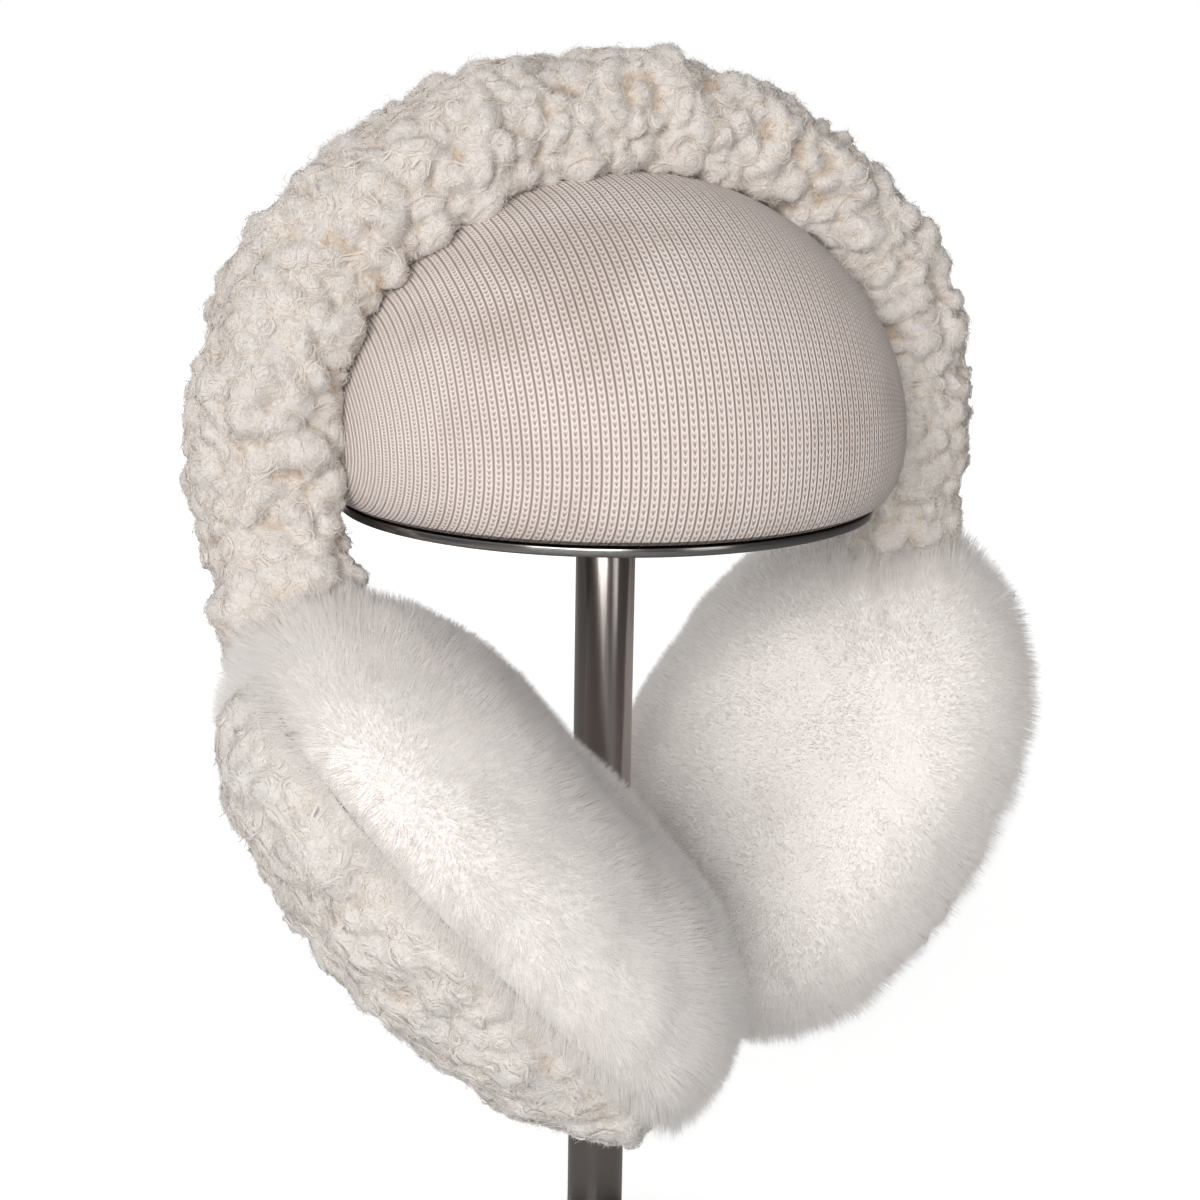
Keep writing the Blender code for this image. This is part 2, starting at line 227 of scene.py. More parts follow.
class Surface:
    """Triangles with smooth normals. Flat cut faces, where two pieces meet, carry no fur."""

    def __init__(self, points, tris, cut, cut_normal, normals=None):
        self.points, self.tris, self.cut, self.cut_normal = points, tris, cut, cut_normal
        corners = points[tris]
        cross = np.cross(corners[:, 1] - corners[:, 0], corners[:, 2] - corners[:, 0])
        self.areas = np.linalg.norm(cross, axis=1) / 2
        if normals is None:
            normals = self.gather(np.where(cut[:, None], 0.0, cross))
            lone = np.linalg.norm(normals, axis=1) < 1e-12
            if lone.any():
                normals[lone] = cut_normal
        self.normals = unit(normals)

    def gather(self, values):
        """Sum of the values of the triangles round each vertex."""
        total = np.zeros_like(self.points)
        for corner in range(3):
            np.add.at(total, self.tris[:, corner], values)
        return total

    def relax(self, rounds):
        """Smooth the normals over the neighbours."""
        for _ in range(rounds):
            mean = self.normals[self.tris].sum(axis=1)
            self.normals = unit(self.gather(np.where(self.cut[:, None], 0.0, mean)) + self.normals)

    def on_cut(self):
        held = np.zeros(len(self.points), dtype=bool)
        held[self.tris[self.cut].ravel()] = True
        return held

    def from_cut(self, points):
        """How far the points are behind the cut's plane."""
        level = (self.points[self.on_cut()] @ self.cut_normal).mean()
        return level - points @ self.cut_normal

    def scatter(self, count, rng):
        """Random points of the surface, rounded between its faces, with their normals."""
        weights = np.where(self.cut, 0.0, self.areas)
        picks = rng.choice(len(self.tris), size=count, p=weights / weights.sum())
        first, second = rng.random((2, count))
        flip = first + second > 1
        first, second = np.where(flip, 1 - first, first), np.where(flip, 1 - second, second)
        shares = np.stack([1 - first - second, first, second], axis=1)[:, :, None]
        corners, normals = self.points[self.tris[picks]], self.normals[self.tris[picks]]
        flat = (corners * shares).sum(axis=1)
        lifted = flat[:, None] - dot(flat[:, None] - corners, normals) * normals
        rounded = (1 - ROUNDNESS) * flat + ROUNDNESS * (lifted * shares).sum(axis=1)
        return rounded, unit((normals * shares).sum(axis=1))

    def spread(self, pitch, rng, tries=30000):
        """Evenly spread points of the surface, no two nearer than the pitch."""
        points, normals = self.scatter(tries, rng)
        taken, kept = {}, []
        for index, point in enumerate(points):
            cell = tuple(np.floor(point / pitch).astype(int))
            near = (taken.get((cell[0] + x, cell[1] + y, cell[2] + z), ())
                    for x in (-1, 0, 1) for y in (-1, 0, 1) for z in (-1, 0, 1))
            if all(np.linalg.norm(points[other] - point) >= pitch for group in near for other in group):
                taken.setdefault(cell, []).append(index)
                kept.append(index)
        return points[kept], normals[kept]

    def moved(self, heights):
        """Vertices moved along their normals, but not off the cut's plane."""
        moves = self.normals * heights
        if self.cut_normal is not None:
            held = self.on_cut()
            moves[held] -= (moves[held] @ self.cut_normal)[:, None] * self.cut_normal
        return self.points + moves

    def split(self):
        """Every triangle in four, the new points lifted to the roundness that the normals tell."""
        edges = np.sort(np.stack([self.tris, np.roll(self.tris, -1, axis=1)], axis=2).reshape(-1, 2), axis=1)
        pairs, where = np.unique(edges, axis=0, return_inverse=True)
        middle = where.reshape(-1, 3) + len(self.points)
        ends, normals = self.points[pairs], self.normals[pairs]
        flat = ends.mean(axis=1)
        lifted = (flat[:, None] - dot(flat[:, None] - ends, normals) * normals).mean(axis=1)
        in_cut = self.on_cut()[pairs].all(axis=1, keepdims=True)
        fresh = np.where(in_cut, flat, (1 - ROUNDNESS) * flat + ROUNDNESS * lifted)
        a, b, c = self.tris.T
        ab, bc, ca = middle.T
        quarters = (a, ab, ca), (b, bc, ab), (c, ca, bc), (ab, bc, ca)
        tris = np.concatenate([np.stack(three, axis=1) for three in quarters])
        return Surface(np.concatenate([self.points, fresh]), tris, np.tile(self.cut, 4), self.cut_normal,
                       np.concatenate([self.normals, unit(normals.sum(axis=1))]))


def skin_of(node, has_cut):
    """Surface of a CAD node."""
    mesh = bmesh.new()
    mesh.from_mesh(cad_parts[node].data)
    bmesh.ops.remove_doubles(mesh, verts=mesh.verts, dist=1e-6)
    bmesh.ops.triangulate(mesh, faces=mesh.faces)
    mesh.verts.ensure_lookup_table()
    points = np.array([vert.co for vert in mesh.verts])
    tris = np.array([[vert.index for vert in face.verts] for face in mesh.faces])
    mesh.free()
    if not has_cut:
        return Surface(points, tris, np.zeros(len(tris), dtype=bool), None)
    return Surface(points, tris, *find_cut(points, tris))


def find_cut(points, tris):
    """Which triangles are on the flat cut, the plane that holds the most area, and its normal."""
    corners = points[tris]
    cross = np.cross(corners[:, 1] - corners[:, 0], corners[:, 2] - corners[:, 0])
    facing = unit(cross)
    _, groups = np.unique(facing.round(2), axis=0, return_inverse=True)
    groups = groups.ravel()
    best = groups == np.bincount(groups, weights=np.linalg.norm(cross, axis=1)).argmax()
    normal = unit(facing[best].mean(axis=0))
    height = corners.mean(axis=1) @ normal
    return (facing @ normal > CUT_FACING) & (abs(height - height[best].mean()) < CUT_DEPTH), normal


def make_mesh(name, points, faces, tints=None):
    """Mesh from arrays of points and faces. Faces is a list of index arrays, one for each corner count."""
    data = bpy.data.meshes.new(name)
    data.vertices.add(len(points))
    data.vertices.foreach_set("co", np.ascontiguousarray(points, dtype=np.float32).ravel())
    loops = np.concatenate([group.ravel() for group in faces])
    counts = np.concatenate([np.full(len(group), group.shape[1]) for group in faces])
    data.loops.add(len(loops))
    data.loops.foreach_set("vertex_index", loops.astype(np.int32))
    data.polygons.add(len(counts))
    data.polygons.foreach_set("loop_start", np.concatenate([[0], np.cumsum(counts)[:-1]]).astype(np.int32))
    data.update(calc_edges=True)
    data.validate()
    data.shade_smooth()
    if tints is not None:
        colours = data.color_attributes.new("tint", "FLOAT_COLOR", "POINT")
        rgba = np.ones((len(points), 4), dtype=np.float32)
        rgba[:, :3] = tints
        colours.data.foreach_set("color", rgba.ravel())
    return data


def add_piece(name, data, material, nodes=()):
    piece = bpy.data.objects.new(name, data)
    data.materials.append(material)
    bpy.context.scene.collection.objects.link(piece)
    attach(piece, "root")
    if nodes:
        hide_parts(*nodes)
    return piece


def strands(name, paths, sides, widths, tints):
    """Flat tapered fibres. Paths, sides and tints are (fibres, steps, 3), widths are (fibres, steps)."""
    count, steps = paths.shape[:2]
    half = sides[:, :-1] * widths[:, :-1, None] / 2
    pairs = np.stack([paths[:, :-1] - half, paths[:, :-1] + half], axis=2).reshape(count, -1, 3)
    points = np.concatenate([pairs, paths[:, -1:]], axis=1)
    per = 2 * (steps - 1) + 1
    start = (np.arange(count) * per)[:, None]
    quads = [start + np.array([2 * k, 2 * k + 1, 2 * k + 3, 2 * k + 2]) for k in range(steps - 2)]
    tips = start + np.array([per - 3, per - 2, per - 1])
    faces = ([np.concatenate(quads)] if quads else []) + [tips]
    colours = np.concatenate([np.repeat(tints[:, :-1], 2, axis=1), tints[:, -1:]], axis=1)
    return make_mesh(name, points.reshape(-1, 3), faces, colours.reshape(-1, 3))


# Materials

def new_material(name):
    material = bpy.data.materials.new(name)
    material.use_nodes = True
    return material, material.node_tree.nodes, material.node_tree.links


def fibre_material(name, sheen, through):
    """Fibres take their colour from the mesh and let light through as well as scattering it."""
    material, nodes, links = new_material(name)
    shader = nodes["Principled BSDF"]
    output = nodes["Material Output"]
    tint = nodes.new("ShaderNodeAttribute")
    tint.attribute_name = "tint"
    shader.inputs["Roughness"].default_value = 0.85
    shader.inputs["Specular IOR Level"].default_value = 0.15
    shader.inputs["Sheen Weight"].default_value = sheen
    shader.inputs["Sheen Roughness"].default_value = 0.5
    passing = nodes.new("ShaderNodeBsdfTranslucent")
    mix = nodes.new("ShaderNodeMixShader")
    mix.inputs["Fac"].default_value = through
    links.new(tint.outputs["Color"], shader.inputs["Base Color"])
    links.new(tint.outputs["Color"], passing.inputs["Color"])
    links.new(shader.outputs["BSDF"], mix.inputs[1])
    links.new(passing.outputs["BSDF"], mix.inputs[2])
    links.new(mix.outputs["Shader"], output.inputs["Surface"])
    return material


def wool_material(name, colour, deep):
    """Felted ground under the fibres, with a fine fibrous bump: its colour mottles with the bump and is
    darker where the bump is low, a painted shade in its hollows.
    """
    material, nodes, links = new_material(name)
    shader = nodes["Principled BSDF"]
    shader.inputs["Roughness"].default_value = 0.95
    shader.inputs["Specular IOR Level"].default_value = 0.1
    shader.inputs["Sheen Weight"].default_value = 0.2
    place = nodes.new("ShaderNodeTexCoord")
    fine = nodes.new("ShaderNodeTexNoise")
    fine.inputs["Scale"].default_value = 900.0
    fine.inputs["Detail"].default_value = 4.0
    fine.inputs["Distortion"].default_value = 1.2
    ramp = nodes.new("ShaderNodeMix")
    ramp.data_type = "RGBA"
    ramp.inputs[6].default_value = (*deep, 1.0)
    ramp.inputs[7].default_value = (*colour, 1.0)
    bump = nodes.new("ShaderNodeBump")
    bump.inputs["Strength"].default_value = 0.8
    bump.inputs["Distance"].default_value = 0.0006
    links.new(place.outputs["Object"], fine.inputs["Vector"])
    links.new(fine.outputs["Fac"], ramp.inputs["Factor"])
    links.new(ramp.outputs[2], shader.inputs["Base Color"])
    links.new(fine.outputs["Fac"], bump.inputs["Height"])
    links.new(bump.outputs["Normal"], shader.inputs["Normal"])
    return material


def clump_material(name):
    """Clumped wool: its colour comes from the mesh, with fine curled fibres as bump, and is darkened by up to
    a tenth where that bump is low, a painted shade in its hollows.
    """
    material, nodes, links = new_material(name)
    shader = nodes["Principled BSDF"]
    shader.inputs["Roughness"].default_value = 0.95
    shader.inputs["Specular IOR Level"].default_value = 0.1
    shader.inputs["Sheen Weight"].default_value = 0.25
    shader.inputs["Sheen Roughness"].default_value = 0.6
    place = nodes.new("ShaderNodeTexCoord")
    tint = nodes.new("ShaderNodeAttribute")
    tint.attribute_name = "tint"
    curl = nodes.new("ShaderNodeTexNoise")
    curl.inputs["Scale"].default_value = 700.0
    curl.inputs["Detail"].default_value = 3.0
    curl.inputs["Distortion"].default_value = 2.5
    shade = nodes.new("ShaderNodeMapRange")
    shade.inputs["From Min"].default_value = 0.35
    shade.inputs["From Max"].default_value = 0.65
    shade.inputs["To Min"].default_value = 0.90
    shade.inputs["To Max"].default_value = 1.0
    mottle_and_shade = nodes.new("ShaderNodeVectorMath")
    mottle_and_shade.operation = "SCALE"
    bump = nodes.new("ShaderNodeBump")
    bump.inputs["Strength"].default_value = 0.7
    bump.inputs["Distance"].default_value = 0.0005
    links.new(place.outputs["Object"], curl.inputs["Vector"])
    links.new(curl.outputs["Fac"], shade.inputs["Value"])
    links.new(tint.outputs["Color"], mottle_and_shade.inputs[0])
    links.new(shade.outputs["Result"], mottle_and_shade.inputs["Scale"])
    links.new(mottle_and_shade.outputs["Vector"], shader.inputs["Base Color"])
    links.new(curl.outputs["Fac"], bump.inputs["Height"])
    links.new(bump.outputs["Normal"], shader.inputs["Normal"])
    return material


# Plush ear cushions

PLUSH_LENGTH = 0.0085
PLUSH_WIDTH = 0.00016
PLUSH_FIBRES = 140000
PLUSH_LOCK_PITCH = 0.0030
PLUSH_DRIFT = 0.16
PLUSH_GROUND = 0.0013
PLUSH_ROOT_DEPTH = 0.0006
PLUSH_SAG = np.array((0.0, 0.0, -0.10))
# Reaches of the flare at the seam, the ruffle round the band's end, and the plush that covers the shell there
PLUSH_SEAM = 0.012
PLUSH_RUFFLE = (0.004, 0.016)
PLUSH_OVER = (0.015, 0.022)
PLUSH_TIP = np.array((0.965, 0.952, 0.944))
PLUSH_ROOT = np.array((0.96, 0.94, 0.925))


def tree_of(points):
    tree = KDTree(len(points))
    for index, point in enumerate(points):
        tree.insert(point, index)
    tree.balance()
    return tree


def nearest(centres, points):
    """Index of the nearest centre for each point."""
    tree = tree_of(centres)
    return np.array([tree.find(point)[1] for point in points])


class Drift:
    """Smooth random vector field, as a sum of waves, that lays neighbouring fibres alike."""

    def __init__(self, rng, longest, shortest, waves=14):
        directions = unit(rng.normal(size=(waves, 3)))
        lengths = np.geomspace(longest, shortest, waves)[:, None]
        self.waves = directions * math.tau / lengths
        self.phases = rng.uniform(0, math.tau, waves)
        self.pushes = rng.normal(size=(waves, 3)) * (lengths / longest) ** 0.35 * math.sqrt(2 / waves)

    def at(self, points):
        return np.sin(points @ self.waves.T + self.phases) @ self.pushes


def plush_over(shell, rng):
    """The pile goes on over the end of the shell that the band comes out of."""
    points, normals = shell.scatter(PLUSH_FIBRES, rng)
    chosen = plush_end(points)[:, 0] > rng.uniform(0.35, 0.65, len(points))
    return points[chosen], normals[chosen]


def plush_end(points):
    """1 where the shell carries plush in place of wool, 0 where it carries wool."""
    _, distance = towards_band(points)
    ragged = Drift(np.random.default_rng(5), 0.02, 0.005).at(points)[:, :1] * 0.002
    return 1 - smoothstep(distance + ragged, *PLUSH_OVER)


def plush(node, shell, seed, material, ground):
    """Dense upright pile. It flares over the seam to the shell and ruffles up round the band's end."""
    rng = np.random.default_rng(seed)
    skin = skin_of(node, True)
    skin.relax(2)
    ends, normals = skin.scatter(PLUSH_FIBRES, rng)
    seam = 1 - smoothstep(skin.from_cut(ends)[:, None], 0.0, PLUSH_SEAM)
    over, over_normals = plush_over(shell, rng)
    ends, normals = np.concatenate([ends, over]), np.concatenate([normals, over_normals])
    seam = np.concatenate([seam, np.zeros((len(over), 1))])
    to_band, band_distance = towards_band(ends)
    ruffle = 1 - smoothstep(band_distance, *PLUSH_RUFFLE)
    lock_ends, _ = skin.spread(PLUSH_LOCK_PITCH, rng)
    lock = nearest(lock_ends, ends)
    drift = Drift(rng, 0.055, 0.008)
    comb = drift.at(ends) * PLUSH_DRIFT + PLUSH_SAG
    comb = comb - dot(comb, normals) * normals + skin.cut_normal * seam * 0.75 + to_band * ruffle * 0.5
    lean = unit(normals + comb + rng.normal(0.0, 0.09, normals.shape))
    length = PLUSH_LENGTH * rng.uniform(0.82, 1.12, (len(ends), 1)) * (1 + 0.35 * seam + 0.55 * ruffle)
    deep = ends - normals * PLUSH_LENGTH * 0.84 - comb * PLUSH_LENGTH * 0.3
    straight = deep + lean * length
    tips = straight + (lock_ends[lock] - straight) * rng.uniform(0.0, 0.04, (len(ends), 1)) * (1 - ruffle)
    # Only the part of a fibre that stands out of the hide is drawn
    buried = (PLUSH_GROUND * (1 + 0.7 * seam) + PLUSH_ROOT_DEPTH) / dot(straight - deep, normals)
    shown = np.clip(buried + dot(straight - ends, normals) / dot(straight - deep, normals), 0.3, 1.0)
    roots = straight + (deep - straight) * shown
    paths = np.stack([roots, tips], axis=1)
    facing = unit(np.cross(normals, rng.normal(size=normals.shape)))
    sides = np.repeat(facing[:, None], 2, axis=1)
    widths = PLUSH_WIDTH * rng.uniform(0.7, 1.3, (len(ends), 1)) * np.array([1.0, 0.0])
    tints = np.stack([PLUSH_ROOT, PLUSH_TIP]) * rng.uniform(0.97, 1.02, (len(ends), 1, 1))
    pile = strands(node + "_plush", paths, sides, widths, tints)
    add_piece(node + "_plush", pile, material)
    depth = PLUSH_GROUND * (1.7 - 0.7 * smoothstep(skin.from_cut(skin.points)[:, None], 0.0, 0.014))
    hide = make_mesh(node + "_hide", skin.moved(-depth), [skin.tris])
    piece = add_piece(node + "_hide", hide, ground, (node,))


def towards_band(points):
    """Direction and distance to the nearest corner of the band's CAD surface."""
    band = skin_of("headband", False).split().points
    off = band[nearest(band, points)] - points
    return unit(off), np.linalg.norm(off, axis=1, keepdims=True)


# Curly shearling

CLUMP_PITCH = 0.0050
CLUMP_LENGTH = 0.0052
CLUMP_WIDTH = 0.0036
CLUMP_RISE = 0.0034
CLUMP_SINK = 0.0019
CLUMP_BLEND = 0.00024
CLUMP_WAVE = 0.0006
CREASE_REACH = 0.00055
WOOL_TIP = np.array((0.84, 0.795, 0.755))
WOOL_WHITE = np.array((0.84, 0.815, 0.79))
# Painted shade for the clumps' low parts and creases, and painted shadow for the deepest creases
WOOL_PAINTED_SHADE = np.array((0.80, 0.71, 0.61))
WOOL_PAINTED_SHADOW = np.array((0.52, 0.40, 0.31))
BODY_SHARE = 0.78
# How creamy the wool's tops are and how strong its painted crease shade and shadow are, on the band and on
# the shells
BAND_CREAM_AND_SHADE, BAND_FIBRES, BAND_FUZZ = 1.0, 52000, 50000
SHELL_CREAM_AND_SHADE, SHELL_FIBRES, SHELL_FUZZ = 0.45, 22000, 20000


class Clumps:
    """Soft clumps of wool that lie over one another on a skin."""

    def __init__(self, centres, normals, leans, rng):
        count = len(centres)
        size = rng.uniform(0.70, 1.30, (count, 1))
        self.centres, self.normals, self.leans = centres, normals, leans
        self.sides = np.cross(normals, leans)
        self.long = CLUMP_LENGTH * size * rng.uniform(0.85, 1.20, (count, 1))
        self.wide = CLUMP_WIDTH * size * rng.uniform(0.85, 1.20, (count, 1))
        self.rise = CLUMP_RISE * size * rng.uniform(0.75, 1.20, (count, 1))
        self.lift = rng.normal(0.0, CLUMP_WAVE, (count, 1))
        self.turn = rng.choice((-1.0, 1.0), (count, 1))
        self.tree = tree_of(centres)
        self.warp = Drift(rng, 0.0110, 0.0028)
        self.swell = Drift(rng, 0.060, 0.020)

    def at(self, points, count=10):
        """Height of the wool over the skin's points, its creases, and the clump that is on top there."""
        near = np.array([[found[1] for found in self.tree.find_n(point, count)] for point in points])
        off = (points + self.warp.at(points) * CLUMP_WAVE)[:, None] - self.centres[near]
        along = dot(off, self.leans[near])[..., 0] / self.long[near][..., 0]
        across = dot(off, self.sides[near])[..., 0] / self.wide[near][..., 0]
        round_part = np.clip(1 - along ** 2 - across ** 2, 0.0, 1.0) ** 0.7
        tops = round_part * (1 + 0.25 * along) * self.rise[near][..., 0] + self.lift[near][..., 0]
        tops = np.where(round_part > 0, tops, 0.0)
        best = tops.argmax(axis=1)
        ranked = np.sort(tops, axis=1)
        crease = 1 - smoothstep(ranked[:, -1] - ranked[:, -2], 0.0, CREASE_REACH)
        height = CLUMP_BLEND * np.log(np.exp(tops / CLUMP_BLEND).sum(axis=1))
        height = height + self.swell.at(points)[:, 0] * CLUMP_WAVE
        return height[:, None], crease[:, None], near[np.arange(len(points)), best]


def wool_tint(fleece, where):
    """White on the clumps' tops; creamy and darker low down and in the creases, as painted shade, and warm
    brown in the deepest ones, as painted shadow.
    """
    low = 1 - smoothstep(fleece.heights[where], CLUMP_RISE * 0.05, CLUMP_RISE * 0.60)
    # Painted shade low down and in the creases, painted shadow in the deepest creases
    deep = fleece.cream_and_shade * np.clip(0.7 * fleece.crease[where] + 0.5 * low, 0.0, 1.0)
    tip = WOOL_WHITE * (1 - fleece.cream_and_shade) + WOOL_TIP * fleece.cream_and_shade
    painted_shadow = fleece.cream_and_shade * fleece.crease[where] * low * 0.5
    return WOOL_PAINTED_SHADOW * painted_shadow + (WOOL_PAINTED_SHADE * deep + tip * (1 - deep)) * (1 - painted_shadow)


class Fleece:
    """The clumped surface, with what its fibres need to follow it."""

    def __init__(self, skin, clumps, fade, sink, cream_and_shade):
        self.cream_and_shade = cream_and_shade
        self.heights, self.crease, self.owner = clumps.at(skin.points)
        self.clumps = clumps
        moved = skin.moved((self.heights - CLUMP_SINK) * fade(skin) - sink(skin))
        self.surface = Surface(moved, skin.tris, skin.cut, skin.cut_normal)
        self.tree = tree_of(moved)

    def under(self, points):
        """Nearest vertex of the surface for each point."""
        flat = points.reshape(-1, 3)
        return np.array([self.tree.find(point)[1] for point in flat]).reshape(points.shape[:-1])

    def laid(self, points, lifts):
        """The points moved to their lift over the surface."""
        where = self.under(points)
        normals = self.surface.normals[where]
        rise = dot(points - self.surface.points[where], normals)
        return points + normals * (lifts[..., None] - rise), where, normals


LYING_STEPS = 4
LYING_LENGTHS = (0.0020, 0.0050)
LYING_WIDTHS = (0.00011, 0.00024)
LYING_LIFT = 0.0008
STRAY_SHARE = 0.12
STRAY_LIFT = 0.001
LOCK_STRANDS = 9
LOCK_STEPS = 5
LOCK_START = 0.001
LOCK_LIFTS = (0.0001, 0.0006)
LOCK_WIDTHS = (0.00020, 0.00042)
FUZZ_ROOT = 0.0002
FUZZ_LENGTHS = (0.0007, 0.0021)
FUZZ_WIDTHS = (0.00010, 0.00022)


def lying_fibres(fleece, name, count, keep, rng):
    """Curved fibres that lie on the clumps and turn round them."""
    roots, normals = fleece.surface.scatter(count, rng)
    below = fleece.under(roots)
    crease = fleece.crease[below]
    chosen = keep(roots) & (rng.random(len(roots)) < 0.5 + 0.5 * crease[:, 0])
    roots, normals, below, crease = roots[chosen], normals[chosen], below[chosen], crease[chosen]
    count = len(roots)
    owner = fleece.owner[below]
    clumps = fleece.clumps
    round_it = unit(np.cross(normals, roots - clumps.centres[owner])) * clumps.turn[owner]
    heading = clumps.leans[owner] * rng.uniform(-0.3, 1.0, (count, 1)) + round_it * 0.8
    heading = heading + rng.normal(0.0, 0.40, (count, 3))
    heading = unit(heading - dot(heading, normals) * normals)
    side = np.cross(normals, heading)
    bend = clumps.turn[owner] * (0.8 + 1.2 * crease) + rng.normal(0.0, 1.2, (count, 1))
    length = rng.uniform(*LYING_LENGTHS, (count, 1, 1))
    turned = (bend * np.linspace(0.0, 1.0, LYING_STEPS - 1))[..., None]
    moves = (heading[:, None] * np.cos(turned) + side[:, None] * np.sin(turned)) * length / (LYING_STEPS - 1)
    points = np.concatenate([np.zeros((count, 1, 3)), np.cumsum(moves, axis=1)], axis=1) + roots[:, None]
    lifts = rng.uniform(0.2, 1.0, (count, 1)) * np.array([-0.1, 0.5, 0.8, 0.7]) * LYING_LIFT
    stray = rng.random((count, 1)) < STRAY_SHARE
    rise = stray * np.array([0.0, 0.3, 0.7, 1.0])
    lifts = lifts + rise * rng.uniform(0.3, 1.6, (count, 1)) * STRAY_LIFT
    points, where, over = fleece.laid(points, lifts)
    along = np.gradient(points, axis=1)
    tilt = rng.normal(0.0, 0.55, (count, 1, 1))
    sides = unit(np.cross(along, over)) * np.cos(tilt) + over * np.sin(tilt)
    widths = rng.uniform(*LYING_WIDTHS, (count, 1)) * np.array([0.6, 1.0, 0.8, 0.0])
    # Fibres take the painted shade of the wool under them, made a little lighter in the creases
    bright = rng.uniform(0.93, 1.03, (count, 1, 1)) * (1 + 0.08 * crease[:, None])
    tints = wool_tint(fleece, where) * bright
    return strands(name, points, sides, widths, tints)


def curled_locks(fleece, name, keep, rng):
    """Locks that wind round the middle of each clump."""
    clumps = fleece.clumps
    owner = np.repeat(np.flatnonzero(keep(clumps.centres)), LOCK_STRANDS)
    count = len(owner)
    first = rng.uniform(0.0, math.tau, len(clumps.centres))[owner][:, None]
    first = first + rng.normal(0.0, 0.35, (count, 1))
    turn = clumps.turn[owner] * rng.uniform(2.2, 4.6, (count, 1))
    shares = np.linspace(0.0, 1.0, LOCK_STEPS)[None]
    angle = first + turn * shares
    reach = rng.uniform(0.35, 1.0, (count, 1)) * (1 - 0.55 * shares)
    points = (clumps.centres[owner][:, None]
              + clumps.leans[owner][:, None] * (clumps.long[owner] * reach * np.cos(angle))[..., None]
              + clumps.sides[owner][:, None] * (clumps.wide[owner] * reach * np.sin(angle))[..., None]
              + clumps.normals[owner][:, None] * LOCK_START)
    lifts = rng.uniform(*LOCK_LIFTS, (count, 1)) * np.array([0.2, 1.0, 1.0, 0.9, 0.5])
    points, where, over = fleece.laid(points, lifts)
    sides = unit(np.cross(np.gradient(points, axis=1), over))
    tilt = rng.normal(0.0, 0.35, (count, 1, 1))
    sides = sides * np.cos(tilt) + over * np.sin(tilt)
    widths = rng.uniform(*LOCK_WIDTHS, (count, 1)) * np.array([0.5, 1.0, 1.0, 0.8, 0.0])
    tints = wool_tint(fleece, where) * rng.uniform(0.92, 1.06, (count, 1, 1))
    return strands(name, points, sides, widths, tints)


def wool_fuzz(fleece, name, count, keep, rng):
    """Short fine hairs that stand off the clumps and soften them."""
    roots, normals = fleece.surface.scatter(count, rng)
    chosen = keep(roots)
    roots, normals = roots[chosen], normals[chosen]
    count = len(roots)
    lean = unit(normals + rng.normal(0.0, 0.6, roots.shape))
    tips = roots + lean * rng.uniform(*FUZZ_LENGTHS, (count, 1))
    paths = np.stack([roots - normals * FUZZ_ROOT, tips], axis=1)
    sides = np.repeat(unit(np.cross(lean, rng.normal(size=lean.shape)))[:, None], 2, axis=1)
    widths = rng.uniform(*FUZZ_WIDTHS, (count, 1)) * np.array([1.0, 0.0])
    tints = np.repeat(wool_tint(fleece, fleece.under(roots))[:, None], 2, axis=1)
    return strands(name, paths, sides, widths, tints)


def shearling(node, seed, has_cut, lean_field, fade, sink, keep, cream_and_shade, fibres, fuzz, material, ground):
    """Clumped wool in place of a CAD node, with lying fibres, curled locks and fuzz on it."""
    rng = np.random.default_rng(seed)
    skin = skin_of(node, has_cut)
    skin.relax(3)
    centres, normals = skin.spread(CLUMP_PITCH, rng)
    clumps = Clumps(centres, normals, lean_field(centres, normals, rng), rng)
    fine = skin.split().split()
    fleece = Fleece(fine, clumps, fade, sink, cream_and_shade)
    # The clumped body carries the painted shade and shadow of its low parts and creases
    tints = wool_tint(fleece, np.arange(len(fine.points))) * BODY_SHARE
    body = make_mesh(node + "_wool", fleece.surface.points, [fine.tris], tints=tints)
    piece = add_piece(node + "_wool", body, ground, (node,))
    curls = lying_fibres(fleece, node + "_curls", fibres, keep, rng)
    add_piece(node + "_curls", curls, material)
    add_piece(node + "_locks", curled_locks(fleece, node + "_locks", keep, rng), material)
    add_piece(node + "_fuzz", wool_fuzz(fleece, node + "_fuzz", fuzz, keep, rng), material)


def band_middle():
    """Centre of the dome that the band arches over."""
    return np.array((0.0, 0.0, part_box("padded_dome")[0][2] + DOME_WAIST_HEIGHT))


def band_leans(centres, normals, rng):
    """Clumps lie across the band, over its sides, towards the dome or away from it."""
    outward = unit(centres - band_middle())
    along = np.cross(outward, np.array((0.0, 1.0, 0.0)))
    lean = np.cross(normals, along) * rng.choice((-1.0, 1.0), (len(centres), 1))
    lean = lean + rng.normal(0.0, 0.45, normals.shape)
    return unit(lean - dot(lean, normals) * normals)


def band_fade(skin):
    """The wool is pressed flat where the band lies on the dome."""
    facing = dot(unit(band_middle() - skin.points), skin.normals)
    return 1 - 0.9 * smoothstep(facing, 0.75, 0.95)


def band_keep(points):
    """No fibres inside the dome."""
    off = points - band_middle()
    off[:, 2] *= DOME_RADIUS / (DOME_TOP - DOME_WAIST)
    return (np.linalg.norm(off, axis=1) > DOME_RADIUS) | (points[:, 2] < DOME_BOTTOM)


def shell_leans(centres, normals, rng):
    """Clumps lie every way, a little more downwards."""
    lean = rng.normal(0.0, 0.7, normals.shape) + np.array((0.0, -0.2, -0.5))
    return unit(lean - dot(lean, normals) * normals)


def shell_fade(skin):
    """Flatter than the band, and most of all at the seam and where it carries plush."""
    inner = smoothstep(skin.from_cut(skin.points)[:, None], 0.0, 0.010)
    return (0.30 + 0.45 * inner) * (1 - 0.8 * plush_end(skin.points))


